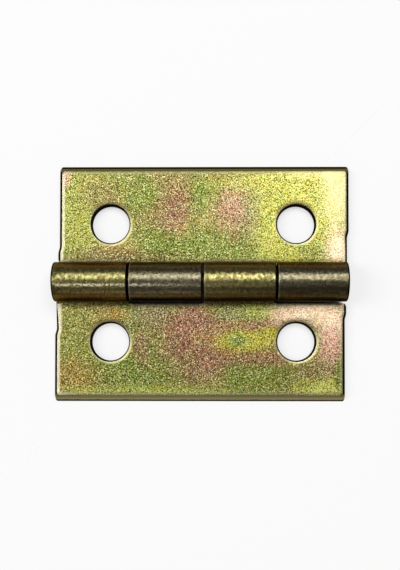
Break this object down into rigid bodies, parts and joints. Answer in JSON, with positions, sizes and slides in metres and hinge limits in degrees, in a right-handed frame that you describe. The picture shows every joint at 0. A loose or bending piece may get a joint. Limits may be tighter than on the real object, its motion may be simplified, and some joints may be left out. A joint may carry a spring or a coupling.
{
  "type": "box hinge",
  "caption": "Small folded-steel butt hinge with rolled knuckles on a wire pin and plain round screw holes, shown opened flat.",
  "frame": {"origin": "middle of the hinge on the plane of the leaves' backs, under the pin's centre line", "axes": "+X along the pin, +Y over the upper leaf, +Z out of the front, the side the barrel stands on"},
  "size_m": [0.0385, 0.031, 0.0051],
  "materials": {
    "leaf_plating": "yellow passivated zinc on sheet steel, satin with a fine grain",
    "pin_wire": "drawn steel wire, lightly plated"
  },
  "bodies": {
    "lower_side": {"lower_leaf": "leaf_plating", "hinge_pin": "pin_wire"},
    "upper_side": {"upper_leaf": "leaf_plating"}
  },
  "joints": [
    {"name": "leaf_swing", "type": "hinge", "parent": "lower_side", "child": "upper_side", "pos_m": [0, 0, 0.00255], "axis": [1, 0, 0], "range_deg": [-90, 180]}
  ]
}
